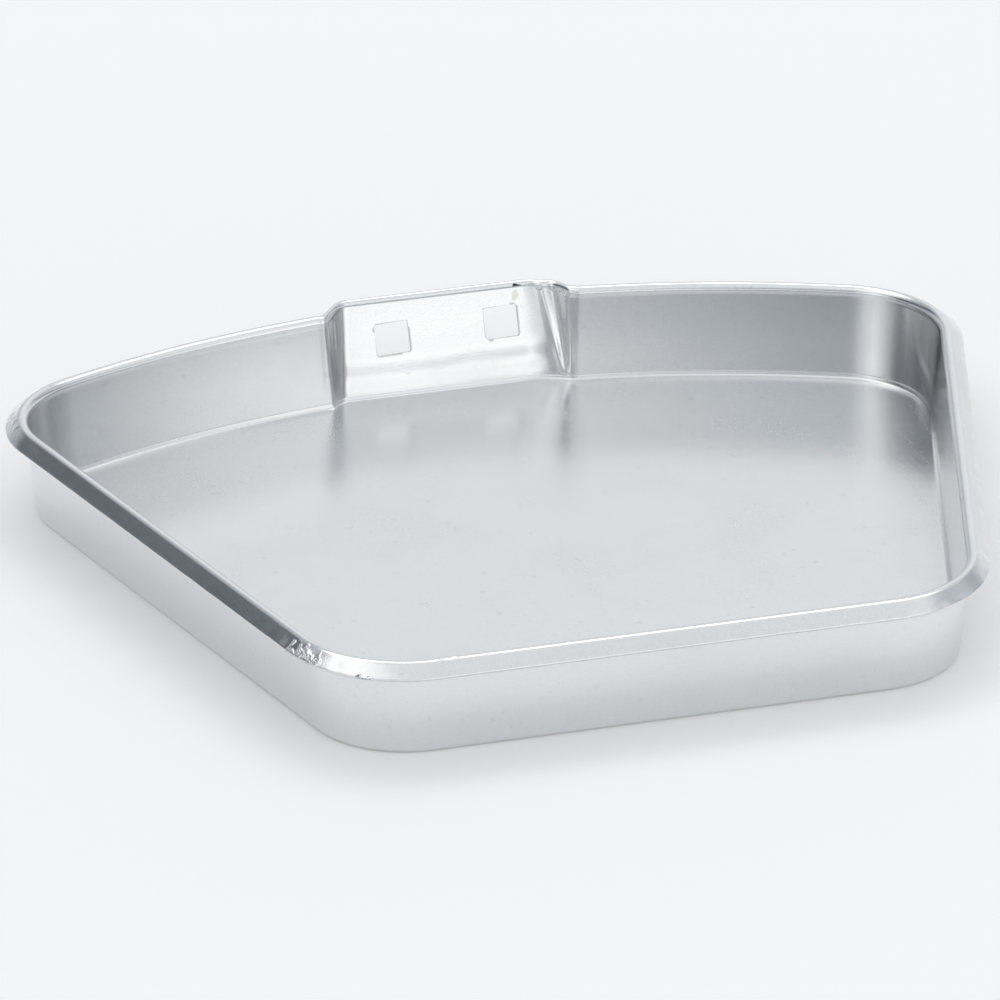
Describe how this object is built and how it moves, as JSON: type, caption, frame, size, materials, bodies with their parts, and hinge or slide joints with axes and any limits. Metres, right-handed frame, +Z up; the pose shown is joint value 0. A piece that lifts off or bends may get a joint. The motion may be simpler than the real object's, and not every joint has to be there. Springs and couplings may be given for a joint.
{
  "type": "sheet-metal counting tray",
  "caption": "Shallow five-sided aluminium tray with an arced back wall, turned-down rim and a leaning pad with punched near-square holes.",
  "frame": {"origin": "middle of the bounding box in plan, on the flat underside", "axes": "+X along the tray's width (longest extent), +Y from the straight front edge to the arced back wall with the pad, +Z up (shortest extent)"},
  "size_m": [0.263, 0.2312, 0.0272],
  "materials": {
    "satin_aluminium": "satin, fine grain, bare aluminium sheet"
  },
  "bodies": {
    "root": {"tray_pan": "satin_aluminium"}
  },
  "joints": []
}
